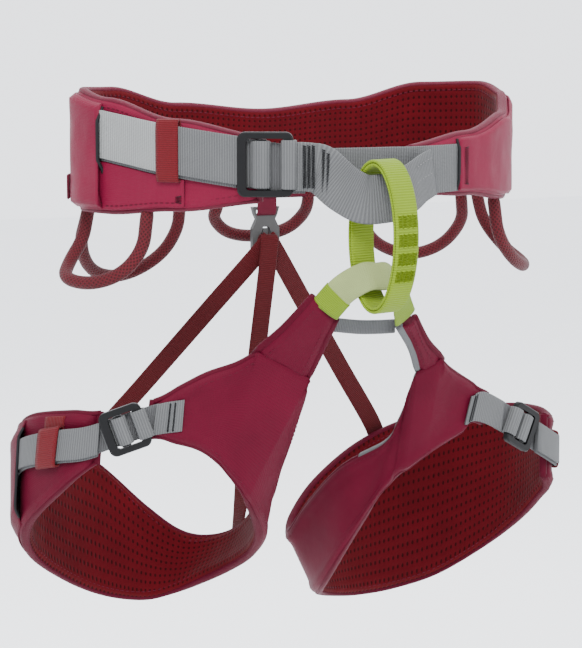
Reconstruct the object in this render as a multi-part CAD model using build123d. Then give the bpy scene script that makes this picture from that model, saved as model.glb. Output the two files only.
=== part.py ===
"""Sport climbing harness: padded waist belt, two adjustable leg loops, belay loop, gear loops, risers.

Millimetres. +Z is up, the wearer faces -Y and the wearer's left is +X.
The origin is the centre of the waist opening, at the height of the waist webbing.
"""
from build123d import *
import math

# ---------------------------------------------------------------- driving dimensions
WAIST_WEBBING = 28.0          # width of the load-bearing waist webbing
LEG_WEBBING = 19.0            # width of the leg-loop adjuster webbing
BELAY_WEBBING = 17.0          # width of the belay loop
RISER_WIDTH = 11.0            # width of the elastic risers
GEAR_TUBE = 8.0               # diameter of a gear loop
WEB = 1.4                     # thickness of one layer of webbing
GAP = 0.4                     # air between neighbouring soft layers
FOAM = 2.0                    # half thickness of the padding
SKIN = 0.9                    # thickness of the outer fabric and of the liner
BINDING = 2.2                 # height of a rolled edge binding

SHELL_IN = FOAM + 0.3
SHELL_OUT = SHELL_IN + SKIN
EDGE = 0.8 + BINDING          # room kept at an edge for its binding

# plan of the waist, from the middle of the back to the middle of the front, wearer's left half
WAIST_PLAN = [(0, 80), (62, 79), (112, 66), (135, 42), (135, 14), (122, -14), (106, -38), (78, -62),
              (42, -79)]
WAIST_FRONT = (0, -86)
# heights of the belt's two edges by distance round from the middle of the back
WAIST_TOP = [(0, 24), (60, 29), (110, 40), (150, 41), (185, 36), (235, 25), (290, 16), (345, 9)]
WAIST_BOTTOM = [(0, -33), (110, -34), (185, -32), (235, -28), (290, -22), (345, -18)]
BELT_END_LEFT = 336.0         # distance round to the belt's end on the wearer's left
BELT_END_RIGHT = -284.0       # and on the wearer's right, behind the buckle

# lower and upper edges of each leg loop's padded band: front end, along the foot of the tie-in tab,
# down the inner thigh, round the back and forward again along the outer thigh
RIGHT_LOW = [(-122, -26, -163), (-106, -31, -166), (-92, -33, -171), (-80, -32, -180), (-71, -30, -190),
             (-65, -29, -198), (-61, -27, -204), (-56, -23, -212), (-49, -16, -222), (-42, -6, -234),
             (-38, 8, -245), (-37, 26, -256), (-41, 46, -267), (-50, 65, -278), (-62, 82, -288),
             (-80, 92, -293), (-108, 93, -287), (-138, 83, -271), (-166, 62, -248), (-176, 36, -224),
             (-166, 2, -196), (-150, -14, -178)]
RIGHT_HIGH = [(-119, -28, -139), (-103, -32, -131), (-88, -35, -124), (-72, -42, -118), (-62, -51, -110),
              (-46, -53, -119), (-31, -54, -127), (-32, -46, -140), (-33, -33, -160), (-31, -10, -184),
              (-24, 16, -205), (-20, 40, -224), (-23, 60, -242), (-34, 80, -252), (-52, 92, -250),
              (-74, 99, -233), (-107, 99, -202), (-138, 86, -184), (-167, 62, -166), (-173, 30, -153),
              (-160, 0, -147), (-147, -14, -146)]
LEFT_LOW = [(98, -33, -170), (84, -32, -175), (72, -30, -181), (65, -28.5, -185), (60, -27, -189),
            (56, -25, -193), (52, -22, -197), (48, -19, -201), (45, -17, -205), (39, -12, -214),
            (32, -2, -233), (25, 14, -258), (25, 36, -280), (31, 56, -291), (40, 76, -299),
            (56, 90, -305), (80, 99, -309), (108, 98, -307), (138, 86, -296), (166, 56, -267),
            (172, 20, -237), (160, -8, -214)]
LEFT_HIGH = [(102, -33, -149), (90, -37, -142), (76, -43, -134), (66, -49, -128), (57, -55, -121),
             (51.5, -51, -125), (46, -47, -129), (47.5, -40, -138), (47, -32, -150), (44, -25, -165),
             (40, -18, -178), (24, 10, -197), (15, 40, -225), (11, 62, -248), (22, 82, -243),
             (45, 97, -226), (78, 104, -206), (110, 101, -192), (140, 86, -183), (168, 56, -176),
             (173, 22, -173), (160, -8, -172)]
TAB_CLEAR = 2.6               # air between a tab's foot and the panel's edge binding
TAB_STATIONS = (4, 6)         # the two ends of the tab's foot in each list
# outer and inner edge of each tie-in tab, from its foot to its tip
RIGHT_TAB = [((-62, -51, -110), (-31, -54, -127)), ((-52, -65, -96), (-28.5, -66, -110)),
             ((-41, -82, -76), (-27, -82, -90))]
LEFT_TAB = [((57, -55, -121), (46, -47, -129)), ((42, -65, -109), (33, -63, -113)),
            ((29, -74, -93), (17, -77, -97))]
STATIONS = len(RIGHT_LOW)

BELAY_CENTRE = (-11.0, -111.0, -40.0)
BELAY_HALF = (21.0, 44.0)     # half depth and half height of the belay loop, outside
BELAY_THICK = 4.0
BELAY_TURN = 15.0              # the loop hangs turned a little about the vertical


# ---------------------------------------------------------------- curves
def level(table, where):
    """Height read from a list of (distance, height) pairs."""
    if where <= table[0][0]:
        return table[0][1]
    for (a, low), (b, high) in zip(table, table[1:]):
        if where <= b:
            t = (where - a) / (b - a)
            return low + (high - low) * t * t * (3 - 2 * t) if len(table) > 2 else low + (high - low) * t
    return table[-1][1]


def through(points, u, corners=()):
    """Smooth closed curve through points at parameter u, with sharp corners at the stations named."""
    count = len(points)
    i = math.floor(u)
    t = u - i
    p0, p1, p2, p3 = [Vector(*points[(i + k) % count]) for k in (-1, 0, 1, 2)]
    if i % count in corners:
        p0 = p1 * 2 - p2
    if (i + 1) % count in corners:
        p3 = p2 * 2 - p1
    return (p1 * 2 + (p2 - p0) * t + (p0 * 2 - p1 * 5 + p2 * 4 - p3) * (t * t)
            + (p1 * 3 - p0 - p2 * 3 + p3) * (t * t * t)) * 0.5


def spread(start, end, count):
    """Evenly spaced values from start to end."""
    return [start + (end - start) * k / count for k in range(count + 1)]


def skin(rows):
    """Closed solid through four-cornered sections, its faces turned outwards."""
    body = Solid.make_loft([Wire.make_polygon(row, close=True) for row in rows], ruled=True)
    if body.volume < 0:
        body = Solid(Shell(body.faces()))
    return body


class Belt:
    """The waist belt's middle surface, by signed distance round from the middle of the back."""

    def __init__(self):
        left = WAIST_PLAN + [WAIST_FRONT]
        right = [(-x, y) for x, y in reversed(WAIST_PLAN[1:])]
        self.plan = [(x, y, 0) for x, y in left + right]
        steps = 12
        total = len(self.plan) * steps
        fine = [through(self.plan, k / steps) for k in range(total + 1)]
        self.reach = [0.0]
        for a, b in zip(fine, fine[1:]):
            self.reach.append(self.reach[-1] + (b - a).length)
        self.fine = fine
        self.length = self.reach[-1]

    def plan_at(self, s):
        s = s % self.length
        k = next(i for i in range(len(self.fine) - 1) if self.reach[i + 1] >= s)
        t = (s - self.reach[k]) / (self.reach[k + 1] - self.reach[k])
        return self.fine[k] + (self.fine[k + 1] - self.fine[k]) * t

    def out(self, s):
        ahead = self.plan_at(s + 3) - self.plan_at(s - 3)
        return Vector(-ahead.Y, ahead.X, 0).normalized()

    def at(self, s, height, offset):
        return self.plan_at(s) + Vector(0, 0, height) + self.out(s) * offset

    def top(self, s):
        return level(WAIST_TOP, abs(s))

    def bottom(self, s):
        return level(WAIST_BOTTOM, abs(s))


BELT = Belt()


def flat(value):
    """A height or an offset that stays the same all the way."""
    return lambda where: value


def belt_strip(start, end, low, high, inner, outer, count):
    """Band on the belt; low, high, inner and outer are functions of the distance round."""
    rows = []
    for s in spread(start, end, count):
        rows.append([BELT.at(s, low(s), inner(s)), BELT.at(s, low(s), outer(s)),
                     BELT.at(s, high(s), outer(s)), BELT.at(s, high(s), inner(s))])
    return skin(rows)


class Leg:
    """A leg loop's middle surface between its lower and upper edges, by station."""

    def __init__(self, low, high, side):
        self.low_points = low
        self.high_points = high
        self.side = side

    def low(self, u):
        return through(self.low_points, u, TAB_STATIONS)

    def high(self, u):
        return through(self.high_points, u, TAB_STATIONS)

    def up(self, u):
        return (self.high(u) - self.low(u)).normalized()

    def out(self, u):
        step = 0.35
        ahead = self.low(u + step) + self.high(u + step) - self.low(u - step) - self.high(u - step)
        return ahead.cross(self.up(u)).normalized() * self.side

    def at(self, u, share, offset):
        """Point at a share of the way up the band, moved outwards."""
        return self.low(u) + (self.high(u) - self.low(u)) * share + self.out(u) * offset

    def below(self, u, rise, offset):
        """Point rise mm above the lower edge."""
        return self.low(u) + self.up(u) * rise + self.out(u) * offset

    def above(self, u, rise, offset):
        """Point rise mm above the upper edge."""
        return self.high(u) + self.up(u) * rise + self.out(u) * offset

    def middle(self, u):
        """Middle line of the adjuster webbing round the outer thigh."""
        return self.at(u, webbing_share(u % STATIONS), 0)

    def track(self, u, across, offset):
        """Point on the adjuster webbing's path, across mm up from its middle line."""
        return self.middle(u) + self.up(u) * across + self.out(u) * offset


def webbing_share(u):
    """How far up the band the adjuster webbing's middle line runs."""
    return level(((0.0, 0.5), (2.0, 0.5), (16.0, 0.62), (19.0, 0.66), (21.0, 0.5), (22.0, 0.5)), u)


def leg_strip(stations, low, high, inner, outer):
    """Band on a leg loop; low and high give points for (station, offset)."""
    return skin([[low(u, inner), low(u, outer), high(u, outer), high(u, inner)] for u in stations])


def strap(centres, acrosses, width, thick):
    """Flat strap through centre points, with its width along the directions given."""
    middle = [Vector(*p) for p in centres]
    rows = []
    for k, p in enumerate(middle):
        ahead = middle[min(k + 1, len(middle) - 1)] - middle[max(k - 1, 0)]
        across = Vector(*acrosses[k])
        out = across.cross(ahead).normalized() * (thick / 2)
        side = ahead.cross(out).normalized() * (width / 2)
        rows.append([p - side - out, p - side + out, p + side + out, p + side - out])
    return skin(rows)


def dense(points, steps):
    """Open smooth curve's points, steps to each span."""
    last = len(points) - 1
    return [tuple(through(points, k / steps, (0, last))) for k in range(last * steps + 1)]


def tube(points, radius, section):
    """Tube along straight runs joined by arcs."""
    route = [Vector(*p) for p in points]
    radii = []
    for a, b, c in zip(route, route[1:], route[2:]):
        turn = (b - a).get_angle(c - b)
        radii.append(0.45 * min((b - a).length, (c - b).length) / math.tan(math.radians(turn) / 2))
    path = FilletPolyline(*route, radius=radii)
    start = Plane(origin=path @ 0, z_dir=path % 0)
    return sweep(start * section(radius), path=path)


def save(node, shape):
    """Write one node's STEP file."""
    export_step(shape, "parts/" + node + ".step")


# ---------------------------------------------------------------- waist belt
WEB_CLEAR = SHELL_OUT + GAP                  # webbing lying straight on the belt's outer fabric
KEEPER_BACK = (SHELL_OUT + 0.3, SHELL_OUT + 1.1)
WEB_LIFTED = KEEPER_BACK[1] + 0.4            # webbing where it runs through the keeper
COVER = 1.0                                  # thickness of a side cover
COVER_EDGE = 3.0                             # a cover stops this far short of the belt's edges
COVER_START = 70.0                           # rear edge of each cover, round from the middle of the back
PANEL_DROP = 21.0                            # the lower panel stops this far below the webbing's middle
BUCKLE_AT = -288.0                           # distance round to the buckle's middle
BUCKLE_LONG = 32.0
BUCKLE_TALL = 37.0
BUCKLE_THICK = 4.0
KEEPER_AT = -233.0
KEEPER_WIDE = 13.0
SLOT_RIGHT = -186.0                          # where the tail leaves its slot in the cover
COVER_END_LEFT = 302.0                       # front edge of the cover on the wearer's left


def belt_layer(inner, outer, low_rise, high_rise, end_room=0.0):
    """One layer of the belt, its edges moved by low_rise and high_rise."""
    return belt_strip(BELT_END_RIGHT + end_room, BELT_END_LEFT - end_room,
                      lambda s: BELT.bottom(s) + low_rise, lambda s: BELT.top(s) + high_rise,
                      flat(inner), flat(outer), 96)


def webbing_height(s):
    """Middle height of the waist webbing."""
    return level(((-300.0, -1.5), (-186.0, 15.0)), s)


def left_webbing_height(s):
    """Middle height of the webbing on the wearer's left."""
    return level(((150.0, 0.0), (230.0, -4.0), (330.0, -5.0)), s)


def lift(s):
    """Offset of the adjuster webbing's inner face, clear of the keeper's back."""
    return level(((BUCKLE_AT - 20, WEB_LIFTED), (-225.0, WEB_LIFTED), (-200.0, WEB_CLEAR),
                  (-150.0, WEB_CLEAR)), s)


def tail_lift(s):
    """Offset of the tail's inner face, lying on the adjuster webbing."""
    return lift(s) + WEB + GAP


def rear_lift(s):
    """Offset of the webbing on the wearer's left, which drops back past the belt's end."""
    return level(((BELT_END_LEFT, WEB_CLEAR), (352.0, 0.0), (372.0, 0.0), (400.0, 2.0)), s)


def waist_panels():
    """Padding, outer fabric, liner and the rolled edges of the belt."""
    save("waist_foam", belt_layer(-FOAM, FOAM, EDGE, -EDGE, EDGE))
    save("waist_shell", belt_layer(SHELL_IN, SHELL_OUT, EDGE, -EDGE, EDGE))
    save("waist_liner", belt_layer(-SHELL_OUT, -SHELL_IN, EDGE, -EDGE, EDGE))
    for node, edge, rise in (("waist_top_binding", BELT.top, 0.0),
                             ("waist_bottom_binding", BELT.bottom, BINDING)):
        save(node, belt_strip(BELT_END_RIGHT, BELT_END_LEFT,
                              lambda s: edge(s) + rise - BINDING, lambda s: edge(s) + rise,
                              flat(-SHELL_OUT), flat(SHELL_OUT), 96))


def waist_covers():
    """Side covers: the webbing runs beneath them, and they are sewn to the belt at their edges."""
    inner = WEB_CLEAR + WEB + GAP
    doubled = inner + WEB + GAP + 0.6
    left = belt_strip(COVER_START, COVER_END_LEFT, lambda s: BELT.bottom(s) + COVER_EDGE,
                      lambda s: BELT.top(s) - COVER_EDGE,
                      flat(inner), flat(inner + COVER), 48)
    right = belt_strip(SLOT_RIGHT + 2, -COVER_START, lambda s: BELT.bottom(s) + COVER_EDGE,
                       lambda s: BELT.top(s) - COVER_EDGE,
                       lambda s: level(((-160.0, doubled), (-120.0, inner)), s),
                       lambda s: level(((-160.0, doubled), (-120.0, inner)), s) + COVER, 30)
    save("waist_cover_left", left)
    save("waist_cover_right", right)
    panel = belt_strip(KEEPER_AT - KEEPER_WIDE, SLOT_RIGHT - 6, lambda s: BELT.bottom(s) + COVER_EDGE,
                       lambda s: webbing_height(s) - PANEL_DROP, flat(SHELL_OUT + 0.3),
                       flat(SHELL_OUT + 1.2), 20)
    save("waist_lower_panel", panel)
    tab = belt_strip(-150, -136, flat(-26), flat(-11), flat(doubled + COVER + 0.3),
                     flat(doubled + COVER + 1.7), 2)
    save("side_tab", tab)


def waist_webbings():
    """Load-bearing webbing: the adjuster and its tail on the right, one long strap on the left."""
    half = WAIST_WEBBING / 2
    right = belt_strip(BUCKLE_AT + 17, -150, lambda s: webbing_height(s) - half - 2,
                       lambda s: webbing_height(s) + half - 2, lift, lambda s: lift(s) + WEB, 36)
    tail = belt_strip(BUCKLE_AT + 17, -150, lambda s: webbing_height(s) - half,
                      lambda s: webbing_height(s) + half,
                      tail_lift, lambda s: tail_lift(s) + WEB, 36)
    left = belt_strip(150, 383, lambda s: left_webbing_height(s) - half,
                      lambda s: left_webbing_height(s) + half,
                      rear_lift, lambda s: rear_lift(s) + WEB, 60)
    save("waist_webbing_right", right)
    save("waist_webbing_tail", tail)
    save("waist_webbing_left", left)


def tie_in_loop():
    """Front band of the tie-in loop: from the buckle over the belay loop and back to the webbing behind."""
    centres = [(-49.5, -85, -1), (-44.5, -86.6, -1.5), (-39, -89.5, -3), (-31, -98, -12.4), (-22.5, -108,
               -18.5),
               (-11, -112, -18.4), (0, -109.5, -17), (11, -104.5, -13), (21, -98, -9), (31, -92.3, -6)]
    tilts = [(0, 0, 1), (0, 0, 1), (0.04, 0, 1), (0.12, 0.04, 1), (0.1, 0.06, 1), (0.04, 0.06, 1),
             (-0.08, 0.06, 1), (-0.14, 0.04, 1), (-0.1, 0, 1), (0, 0, 1)]
    save("tie_in_loop", strap(dense(centres, 4), dense(tilts, 4), WAIST_WEBBING, WEB))
    tacks = []
    out = Vector(-0.305, -0.952, 0)
    for x in (-48.6, -46.2, -43.8):
        middle = Vector(x, -85 - (x + 49.5) * 0.32, -1) + out * 1.5
        tacks.append(Plane(origin=middle, x_dir=Vector(0, 0, 1), z_dir=out) * Box(25, 1.4, 0.8))
    save("tie_in_bar_tacks", Compound(children=tacks))


def buckle_frame(long, tall, thick, window, plane):
    """Ladder-lock frame with one window; the sliding bar lies across the window."""
    outline = RectangleRounded(long, tall, 4.5) - RectangleRounded(window[0], window[1], 2.0)
    body = extrude(outline, thick / 2, both=True)
    body = chamfer(body.faces().sort_by(Axis.Z)[-1].outer_wire().edges(), 0.7)
    return plane * body


def slider_bar(wide, tall, thick, plane):
    """Knurled sliding bar, round-edged."""
    bar = extrude(RectangleRounded(wide, tall, 1.2), thick / 2, both=True)
    return plane * bar


def fold(wide, reach, thick, bar):
    """Webbing folded round a bar: a rounded ring as wide as the webbing."""
    outer = RectangleRounded(reach, bar + 2 * thick, 2.2)
    inner = RectangleRounded(reach - 2 * thick, bar, 0.8)
    return extrude(outer - inner, wide / 2, both=True)


def plane_on(origin, along, out):
    """Plane whose x runs along the webbing and whose z faces outwards."""
    return Plane(origin=origin, x_dir=along, z_dir=out)


def waist_buckle_plane():
    """Plane of the waist buckle's frame, facing outwards."""
    out = BELT.out(BUCKLE_AT)
    along = Vector(-out.Y, out.X, 0)
    middle = BELT.at(BUCKLE_AT, webbing_height(BUCKLE_AT), 7.6)
    return plane_on(middle, along, out)


def keeper_on_belt():
    """Elastic keeper: a flat ring round both layers of webbing."""
    low = -WAIST_WEBBING / 2 - 4.4
    high = WAIST_WEBBING / 2 + 2.4
    front = WEB_LIFTED + 2 * WEB + GAP + 0.4
    start = KEEPER_AT - KEEPER_WIDE / 2
    end = KEEPER_AT + KEEPER_WIDE / 2
    ring = belt_strip(start, end, lambda s: webbing_height(KEEPER_AT) + low,
                      lambda s: webbing_height(KEEPER_AT) + high, flat(KEEPER_BACK[0]),
                      flat(front + 1.0), 3)
    hole = belt_strip(start - 1, end + 1, lambda s: webbing_height(KEEPER_AT) + low + 1.1,
                      lambda s: webbing_height(KEEPER_AT) + high - 1.1, flat(KEEPER_BACK[1]),
                      flat(front), 3)
    save("waist_keeper", ring - hole)


def buckle_parts(name, plane, long, tall, thick, webbing):
    """Frame, sliding bar and the webbing fold that holds the frame's front bar."""
    window = (long - 10, tall - 7.5)
    save(name + "_frame", buckle_frame(long, tall, thick, window, plane))
    bar_wide = 6.0
    slider = slider_bar(bar_wide, window[1] - 0.7, thick, plane * Plane(origin=(-SLIDE_HOME, 0, 0)))
    save(name + "_slider", slider)
    bar = thick + 1.3
    reach = 5 + 1.3 + 2 * WEB
    hold = Plane(origin=((long - 5) / 2, 0, 0), x_dir=(1, 0, 0), z_dir=(0, 1, 0))
    save(name + "_fold", plane * hold * fold(webbing, reach, WEB, bar))


# ---------------------------------------------------------------- leg loops
SLIDE_HOME = 2.0                             # the sliding bar rests this far behind the window's middle
LEG_BUCKLE_AT = 21.52
LEG_KEEPER_AT = {"right": 19.75, "left": 20.2}
LEG_BUCKLE = (26.0, 27.0, 3.6)
KEEPER_ROOM = 0.6                            # air between a leg keeper and the webbing inside it


def spans(start, end, per_station=3):
    """Stations from start to end, with every whole station included."""
    return spread(start, end, round((end - start) * per_station))


def leg_panels(name, leg):
    """Padding, outer fabric, liner, rolled edges and the lining inside the tie-in tab."""
    whole = spans(0.12, 20.88)
    full = spans(0, 21)

    def layer(inner, outer):
        return leg_strip(whole, lambda u, off: leg.below(u, EDGE, off), lambda u, off: leg.above(u,
                         -EDGE, off),
                         inner, outer)

    save(name + "_foam", layer(-FOAM, FOAM))
    save(name + "_shell", layer(SHELL_IN, SHELL_OUT))
    save(name + "_liner", layer(-SHELL_OUT, -SHELL_IN))
    low = leg_strip(full, lambda u, off: leg.below(u, 0, off), lambda u, off: leg.below(u, BINDING, off),
                    -SHELL_OUT, SHELL_OUT)
    high = leg_strip(full, lambda u, off: leg.above(u, -BINDING, off), lambda u, off: leg.above(u, 0, off),
                     -SHELL_OUT, SHELL_OUT)
    save(name + "_edge_bindings", Compound(children=[low, high]))
    lining = leg_strip(spans(6.2, 10.8), lambda u, off: leg.above(u, -15, off),
                       lambda u, off: leg.above(u, -3, off),
                       -SHELL_OUT - 1.0, -SHELL_OUT - 0.3)
    save(name + "_inner_lining", lining)


def leg_webbing(name, leg, keeper_at):
    """Adjuster webbing round the outer thigh, its tail, keeper and buckle."""
    half = LEG_WEBBING / 2
    behind = LEG_BUCKLE_AT - (LEG_BUCKLE[0] / 2 + 2.8) / (leg.middle(22) - leg.middle(21)).length
    before = LEG_BUCKLE_AT + (LEG_BUCKLE[0] / 2 + 7.4) / (leg.middle(22) - leg.middle(21)).length
    lifted = KEEPER_BACK[1] + KEEPER_ROOM
    doubled = lifted + WEB + GAP

    def run(start, end, shift, inner):
        return leg_strip(spans(start, end, 4), lambda u, off: leg.track(u, shift - half, off),
                         lambda u, off: leg.track(u, shift + half, off), inner, inner + WEB)

    save(name + "_webbing", run(17.2, behind, -1.5, lifted))
    save(name + "_webbing_tail", run(17.6, behind, 0, doubled))
    plane_out = leg.out(LEG_BUCKLE_AT)
    along = (leg.middle(LEG_BUCKLE_AT + 0.1) - leg.middle(LEG_BUCKLE_AT - 0.1)).normalized()
    origin = leg.middle(LEG_BUCKLE_AT) + plane_out * (lifted + WEB / 2 + 1.2)
    plane = plane_on(origin, along, along.cross(leg.up(LEG_BUCKLE_AT)).normalized() * leg.side)
    buckle_parts(name + "_buckle", plane, *LEG_BUCKLE, LEG_WEBBING - 1.6)
    front = run(before, 23.1, 0, SHELL_OUT + GAP)
    save(name + "_front_strap", front)
    reach = 7.5 / (leg.middle(keeper_at + 0.5) - leg.middle(keeper_at - 0.5)).length
    front_off = doubled + WEB + KEEPER_ROOM

    def keeper_ring(extra, trim, inner, outer):
        stations = spread(keeper_at - reach - extra, keeper_at + reach + extra, 3)
        return leg_strip(stations, lambda u, off: leg.track(u, -half - 3.6 + trim, off),
                         lambda u, off: leg.track(u, half + 2.4 - trim, off), inner, outer)

    ring = keeper_ring(0, 0, KEEPER_BACK[0], front_off + 1.0)
    hole = keeper_ring(0.05, 1.1, KEEPER_BACK[1], front_off)
    save(name + "_keeper", ring - hole)


def tie_in_tab(name, rows, side):
    """Tapered tab that carries the leg loop up to the tie-in sleeve."""
    outer = dense([row[0] for row in rows], 4)
    inner = dense([row[1] for row in rows], 4)
    sections = []
    for k, (a, b) in enumerate(zip(outer, inner)):
        first = Vector(*a)
        last = Vector(*b)
        ahead = Vector(*outer[min(k + 1, 8)]) - Vector(*outer[max(k - 1, 0)])
        out = (last - first).cross(ahead).normalized() * side * SHELL_OUT
        foot = ahead.normalized() * (TAB_CLEAR if k == 0 else 0)
        sections.append([first - out + foot, first + out + foot, last + out + foot, last - out + foot])
    save(name + "_tie_in_tab", skin(sections))


RIGHT_LEG = Leg(RIGHT_LOW, RIGHT_HIGH, 1)
LEFT_LEG = Leg(LEFT_LOW, LEFT_HIGH, -1)


# ---------------------------------------------------------------- tie-in, belay loop and bridge
def belay_loop():
    """Sewn ring of webbing, with a raised patch of stitching on its front strand."""
    turned = Plane(origin=BELAY_CENTRE, x_dir=Vector(0, 1, 0), z_dir=Vector(1, 0, 0))
    depth, height = BELAY_HALF
    outline = Ellipse(depth, height) - Ellipse(depth - BELAY_THICK, height - BELAY_THICK)
    ring = extrude(outline, BELAY_WEBBING / 2, both=True)
    placed = turned * ring
    placed = placed.rotate(Axis(BELAY_CENTRE, (0, 0, 1)), BELAY_TURN)
    save("belay_loop", placed)
    stitch = Ellipse(depth + 1.0, height + 1.0) - Ellipse(depth + 0.3, height + 0.3)
    window = Pos(-depth, -4) * Rectangle(14, 34)
    patch = extrude(stitch & window, 6.5, both=True)
    patch = (turned * patch).rotate(Axis(BELAY_CENTRE, (0, 0, 1)), BELAY_TURN)
    save("belay_loop_bar_tack", patch)


SLEEVE_ROUTE = [(-30.5, -86, -79.5), (-28.5, -98, -68.4), (-20, -106, -63.4), (-11, -106, -63.4), (-2,
                -103.6, -65),
                (8, -94, -78), (17.5, -81, -87.5)]
SLEEVE_ACROSS = [(-0.6, 0.1, 0.75), (-0.45, 0.3, 0.8), (-0.2, 0.45, 0.85), (-0.05, 0.5, 0.85), (0.1,
                 0.48, 0.85),
                 (0.6, 0.35, 0.65), (0.9, 0.23, 0.35)]
SLEEVE_WIDTH = 17.0


def tie_in_sleeve():
    """Protective sleeve over the lower tie-in webbing, threaded through the belay loop."""
    route = dense(SLEEVE_ROUTE, 4)
    across = dense(SLEEVE_ACROSS, 4)
    save("tie_in_sleeve", strap(route[2:-2], across[2:-2], SLEEVE_WIDTH, 2.2))
    right_band = strap(route[:2], across[:2], SLEEVE_WIDTH, 2.6)
    left_band = strap(route[-2:], across[-2:], 14.5, 2.6)
    save("sleeve_end_bands", Compound(children=[right_band, left_band]))
    bridge = [(-23, -71, -95), (-6, -70, -97.5), (8, -68.5, -98.5), (20, -66, -99)]
    save("leg_bridge_strap", strap(dense(bridge, 3), [(0, 0, 1)] * 10, 8.5, 1.4))


# ---------------------------------------------------------------- gear loops
FRONT_RIGHT = [(-134, 40, -35), (-137, 40, -50), (-148, 35, -63), (-157, 20, -71), (-147, 0, -73),
               (-132, -14, -66), (-121, -19, -51), (-119, -19, -34.5)]
REAR_RIGHT = [(-57.4, 80.4, -36), (-57, 85, -52), (-67, 92, -70), (-92, 95, -82), (-117, 83, -76),
              (-131, 64, -56), (-129, 55.4, -38)]
HAUL = [(-31, 81, -37.5), (-31, 90, -46), (-18, 96, -57), (4, 98, -60), (25, 96, -56), (34, 90, -46),
        (33, 81, -37.5)]
REAR_LEFT = [(72.4, 79, -36.6), (74, 85.6, -51), (88, 93, -68), (112, 91, -77), (130, 77, -70),
             (137, 61, -52), (131.6, 53, -37.8)]
FRONT_LEFT = [(134, 36, -35), (138, 35, -50), (147, 24, -66), (150, 4, -74), (137, -18, -74), (118, -34,
              -65),
              (104, -42, -50), (102, -41, -32.5)]
GEAR_LOOPS = {"gear_loop_front_right": FRONT_RIGHT, "gear_loop_rear_right": REAR_RIGHT, "haul_loop": HAUL,
              "gear_loop_rear_left": REAR_LEFT, "gear_loop_front_left": FRONT_LEFT}


def gear_loops():
    """Gear loops: stiff cord in a woven sheath, hanging from the belt's lower edge."""
    for node, points in GEAR_LOOPS.items():
        save(node, tube(points, GEAR_TUBE / 2, Circle))


# ---------------------------------------------------------------- drop-seat hook and elastic risers
HOOK_AT = (3.0, 83.0, -39.0)                 # top middle of the hook
HOOK_WIDE = 19.0
HOOK_TALL = 28.0
HOOK_THICK = 4.0


def drop_seat_hook():
    """Hook at the back that the risers hang from, with its springy tongue and the fabric tab above."""
    x, y, z = HOOK_AT
    upright = Plane(origin=HOOK_AT, x_dir=(1, 0, 0), z_dir=(0, -1, 0))
    half = HOOK_WIDE / 2
    outline = Polygon((-half, 0), (half, 0), (half - 1.5, -5), (half - 3, -8), (half, -14), (half,
                      -HOOK_TALL),
                      (-half, -HOOK_TALL), (-half, -14), (-half + 3, -8), (-half + 1.5, -5), align=None)
    slot = Pos(0, -3.2) * Rectangle(HOOK_WIDE - 5, 2.6)
    mouth = Polygon((-2.0, -13), (2.0, -13), (half - 2.6, -HOOK_TALL + 3), (-half + 2.6, -HOOK_TALL + 3),
                    align=None)
    body = extrude(outline - slot - mouth, HOOK_THICK / 2, both=True)
    body = fillet(body.edges().filter_by(Axis.Z).group_by(Axis.Y)[0], 1.5)
    save("drop_seat_hook", upright * body)
    tongue = Polygon((-1.6, -14), (1.6, -14), (2.6, -HOOK_TALL + 4.6), (-2.6, -HOOK_TALL + 4.6), align=None)
    save("hook_gate", upright * extrude(tongue, 1.0, both=True))
    front = y - HOOK_THICK / 2 - 0.5
    tab = [(x, front - 0.7, z + 3.4), (x, front - 0.7, z - 3.0)]
    save("riser_tab", strap(tab, [(1, 0, 0)] * 2, 13, WEB))


RISER_TOP = -64.0


def risers():
    """Three elastic straps from the hook to the backs of the leg loops."""
    x, y = HOOK_AT[:2]
    near = y - HOOK_THICK / 2 - 1.8
    ends = {"riser_left": (LEFT_LEG, 16.55, x + 2.5, near), "riser_right": (RIGHT_LEG, 16.25, x - 1.5,
            near - 1.8),
            "riser_centre": (RIGHT_LEG, 12.5, x, near - 3.6)}
    for node, (leg, station, top_x, top_y) in ends.items():
        start = Vector(top_x, top_y, RISER_TOP)
        edge = leg.above(station, 2, SHELL_OUT + 2.0)
        foot = leg.above(station, -12, SHELL_OUT + 1.4)
        run = foot - start
        across = Vector(-run.Z, 0, run.X).normalized()
        middle = [start, start + (edge - start) * 0.33, start + (edge - start) * 0.67, edge, foot]
        lean = leg.out(station)
        low_across = lean.cross(run).normalized()
        if low_across.dot(across) < 0:
            low_across = low_across * -1
        acrosses = [across, across, across * 0.6 + low_across * 0.4, low_across, low_across]
        save(node, strap([tuple(p) for p in middle], [tuple(a) for a in acrosses], RISER_WIDTH, 1.2))


waist_panels()
waist_covers()
waist_webbings()
tie_in_loop()
buckle_parts("waist_buckle", waist_buckle_plane(), BUCKLE_LONG, BUCKLE_TALL, BUCKLE_THICK, WAIST_WEBBING)
keeper_on_belt()
for side, leg, tab in (("right", RIGHT_LEG, RIGHT_TAB), ("left", LEFT_LEG, LEFT_TAB)):
    leg_panels(side + "_leg", leg)
    tie_in_tab(side + "_leg", tab, leg.side)
    leg_webbing(side + "_leg", leg, LEG_KEEPER_AT[side])
belay_loop()
tie_in_sleeve()
gear_loops()
drop_seat_hook()
risers()
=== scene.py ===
import math
import bmesh
import bpy
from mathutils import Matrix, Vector, noise


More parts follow.
